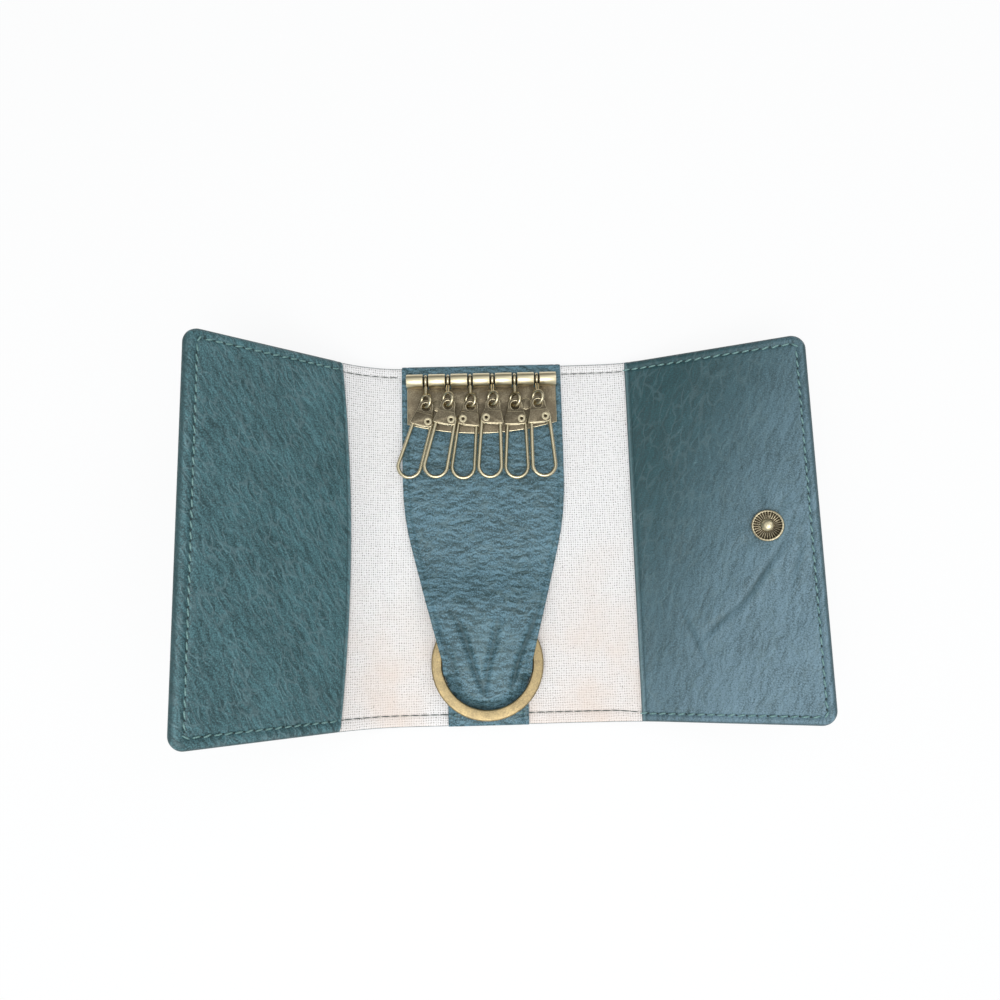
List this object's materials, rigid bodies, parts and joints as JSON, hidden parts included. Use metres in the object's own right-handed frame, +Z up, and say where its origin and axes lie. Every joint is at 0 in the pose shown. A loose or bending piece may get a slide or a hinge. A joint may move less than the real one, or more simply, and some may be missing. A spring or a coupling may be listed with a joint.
{
  "type": "key case",
  "caption": "Open folding leather key case: two creased wings with pockets and a snap, canvas lining, a riveted row of swinging wire key hooks and a ring under a strap.",
  "frame": {"origin": "underside of the centre panel, on the strap's centre line at mid height of the case", "axes": "+X to the right seen from the inside, +Y towards the row of hooks, +Z up from the table"},
  "size_m": [0.1616, 0.102, 0.0403],
  "materials": {
    "leather": "pebbled, satin",
    "canvas": "plain weave, matte",
    "antique_brass": "antique, brushed"
  },
  "bodies": {
    "centre": {"outer_centre": "leather", "lining_centre": "canvas", "key_strap": "leather", "key_plate": "antique_brass", "hinge_rod": "antique_brass", "plate_rivets": "antique_brass"},
    "left_spine": {"outer_left_spine": "leather", "lining_left_spine": "canvas"},
    "left_wing": {"outer_left_wing": "leather", "lining_left_wing": "canvas", "pocket_left": "leather", "snap_socket": "antique_brass", "snap_post": "antique_brass"},
    "right_spine": {"outer_right_spine": "leather", "lining_right_spine": "canvas"},
    "right_wing": {"outer_right_wing": "leather", "lining_right_wing": "canvas", "pocket_right": "leather", "snap_stud": "antique_brass", "snap_cap": "antique_brass"},
    "strap_ring": {"strap_ring": "antique_brass"},
    "hook_1_link": {"hook_1_link": "antique_brass"},
    "hook_1_head": {"hook_1_head": "antique_brass", "hook_1_rivet": "antique_brass"},
    "hook_1_loop": {"hook_1_loop": "antique_brass"},
    "hook_2_link": {"hook_2_link": "antique_brass"},
    "hook_2_head": {"hook_2_head": "antique_brass", "hook_2_rivet": "antique_brass"},
    "hook_2_loop": {"hook_2_loop": "antique_brass"},
    "hook_3_link": {"hook_3_link": "antique_brass"},
    "hook_3_head": {"hook_3_head": "antique_brass", "hook_3_rivet": "antique_brass"},
    "hook_3_loop": {"hook_3_loop": "antique_brass"},
    "hook_4_link": {"hook_4_link": "antique_brass"},
    "hook_4_head": {"hook_4_head": "antique_brass", "hook_4_rivet": "antique_brass"},
    "hook_4_loop": {"hook_4_loop": "antique_brass"},
    "hook_5_link": {"hook_5_link": "antique_brass"},
    "hook_5_head": {"hook_5_head": "antique_brass", "hook_5_rivet": "antique_brass"},
    "hook_5_loop": {"hook_5_loop": "antique_brass"},
    "hook_6_link": {"hook_6_link": "antique_brass"},
    "hook_6_head": {"hook_6_head": "antique_brass", "hook_6_rivet": "antique_brass"},
    "hook_6_loop": {"hook_6_loop": "antique_brass"}
  },
  "joints": [
    {"name": "left_inner_fold", "type": "hinge", "parent": "centre", "child": "left_spine", "pos_m": [-0.0274, 0, 0.002], "axis": [0, 1, 0], "range_deg": [-25, 65]},
    {"name": "left_outer_fold", "type": "hinge", "parent": "left_spine", "child": "left_wing", "pos_m": [-0.03644, 0, 0.00622], "axis": [0, 1, 0], "range_deg": [-17.5, 72.5]},
    {"name": "right_inner_fold", "type": "hinge", "parent": "centre", "child": "right_spine", "pos_m": [0.0256, 0, 0.002], "axis": [0, -1, 0], "range_deg": [-2.5, 87.5]},
    {"name": "right_outer_fold", "type": "hinge", "parent": "right_spine", "child": "right_wing", "pos_m": [0.04156, 0, 0.0027], "axis": [0, -1, 0], "range_deg": [-23, 67]},
    {"name": "ring_slide", "type": "slide", "parent": "centre", "child": "strap_ring", "axis": [0, -1, 0], "range_m": [0, 0.004]},
    {"name": "hook_1_swing", "type": "hinge", "parent": "centre", "child": "hook_1_link", "pos_m": [-0.01595, 0.0459, 0.0055], "axis": [1, 0, 0], "range_deg": [-140, 0]},
    {"name": "hook_1_sway", "type": "hinge", "parent": "hook_1_link", "child": "hook_1_head", "pos_m": [-0.01595, 0.03796, 0.00598], "axis": [0, -0.0523, 0.9986], "range_deg": [-8, 8]},
    {"name": "hook_1_gate", "type": "hinge", "parent": "hook_1_head", "child": "hook_1_loop", "pos_m": [-0.01541, 0.03375, 0.00576], "axis": [0, -0.0523, 0.9986], "range_deg": [0, 28], "stiffness_Nm_per_rad": 0.01},
    {"name": "hook_2_swing", "type": "hinge", "parent": "centre", "child": "hook_2_link", "pos_m": [-0.00957, 0.0459, 0.0055], "axis": [1, 0, 0], "range_deg": [-140, 0]},
    {"name": "hook_2_sway", "type": "hinge", "parent": "hook_2_link", "child": "hook_2_head", "pos_m": [-0.00957, 0.03785, 0.00808], "axis": [0, -0.0523, 0.9986], "range_deg": [-8, 8]},
    {"name": "hook_2_gate", "type": "hinge", "parent": "hook_2_head", "child": "hook_2_loop", "pos_m": [-0.00872, 0.03369, 0.00786], "axis": [0, -0.0523, 0.9986], "range_deg": [0, 28], "stiffness_Nm_per_rad": 0.01},
    {"name": "hook_3_swing", "type": "hinge", "parent": "centre", "child": "hook_3_link", "pos_m": [-0.00319, 0.0459, 0.0055], "axis": [1, 0, 0], "range_deg": [-140, 0]},
    {"name": "hook_3_sway", "type": "hinge", "parent": "hook_3_link", "child": "hook_3_head", "pos_m": [-0.00319, 0.03796, 0.00598], "axis": [0, -0.0523, 0.9986], "range_deg": [-8, 8]},
    {"name": "hook_3_gate", "type": "hinge", "parent": "hook_3_head", "child": "hook_3_loop", "pos_m": [-0.00541, 0.03434, 0.00579], "axis": [0, -0.0523, 0.9986], "range_deg": [-28, 0], "stiffness_Nm_per_rad": 0.01},
    {"name": "hook_4_swing", "type": "hinge", "parent": "centre", "child": "hook_4_link", "pos_m": [0.00319, 0.0459, 0.0055], "axis": [1, 0, 0], "range_deg": [-140, 0]},
    {"name": "hook_4_sway", "type": "hinge", "parent": "hook_4_link", "child": "hook_4_head", "pos_m": [0.00319, 0.03785, 0.00808], "axis": [0, -0.0523, 0.9986], "range_deg": [-8, 8]},
    {"name": "hook_4_gate", "type": "hinge", "parent": "hook_4_head", "child": "hook_4_loop", "pos_m": [0.00123, 0.03408, 0.00788], "axis": [0, -0.0523, 0.9986], "range_deg": [-28, 0], "stiffness_Nm_per_rad": 0.01},
    {"name": "hook_5_swing", "type": "hinge", "parent": "centre", "child": "hook_5_link", "pos_m": [0.00957, 0.0459, 0.0055], "axis": [1, 0, 0], "range_deg": [-140, 0]},
    {"name": "hook_5_sway", "type": "hinge", "parent": "hook_5_link", "child": "hook_5_head", "pos_m": [0.00957, 0.03796, 0.00598], "axis": [0, -0.0523, 0.9986], "range_deg": [-8, 8]},
    {"name": "hook_5_gate", "type": "hinge", "parent": "hook_5_head", "child": "hook_5_loop", "pos_m": [0.01128, 0.03408, 0.00578], "axis": [0, -0.0523, 0.9986], "range_deg": [0, 28], "stiffness_Nm_per_rad": 0.01},
    {"name": "hook_6_swing", "type": "hinge", "parent": "centre", "child": "hook_6_link", "pos_m": [0.01595, 0.0459, 0.0055], "axis": [1, 0, 0], "range_deg": [-140, 0]},
    {"name": "hook_6_sway", "type": "hinge", "parent": "hook_6_link", "child": "hook_6_head", "pos_m": [0.01595, 0.03785, 0.00808], "axis": [0, -0.0523, 0.9986], "range_deg": [-8, 8]},
    {"name": "hook_6_gate", "type": "hinge", "parent": "hook_6_head", "child": "hook_6_loop", "pos_m": [0.01793, 0.0341, 0.00788], "axis": [0, 0.0523, -0.9986], "range_deg": [-28, 0], "stiffness_Nm_per_rad": 0.01}
  ]
}
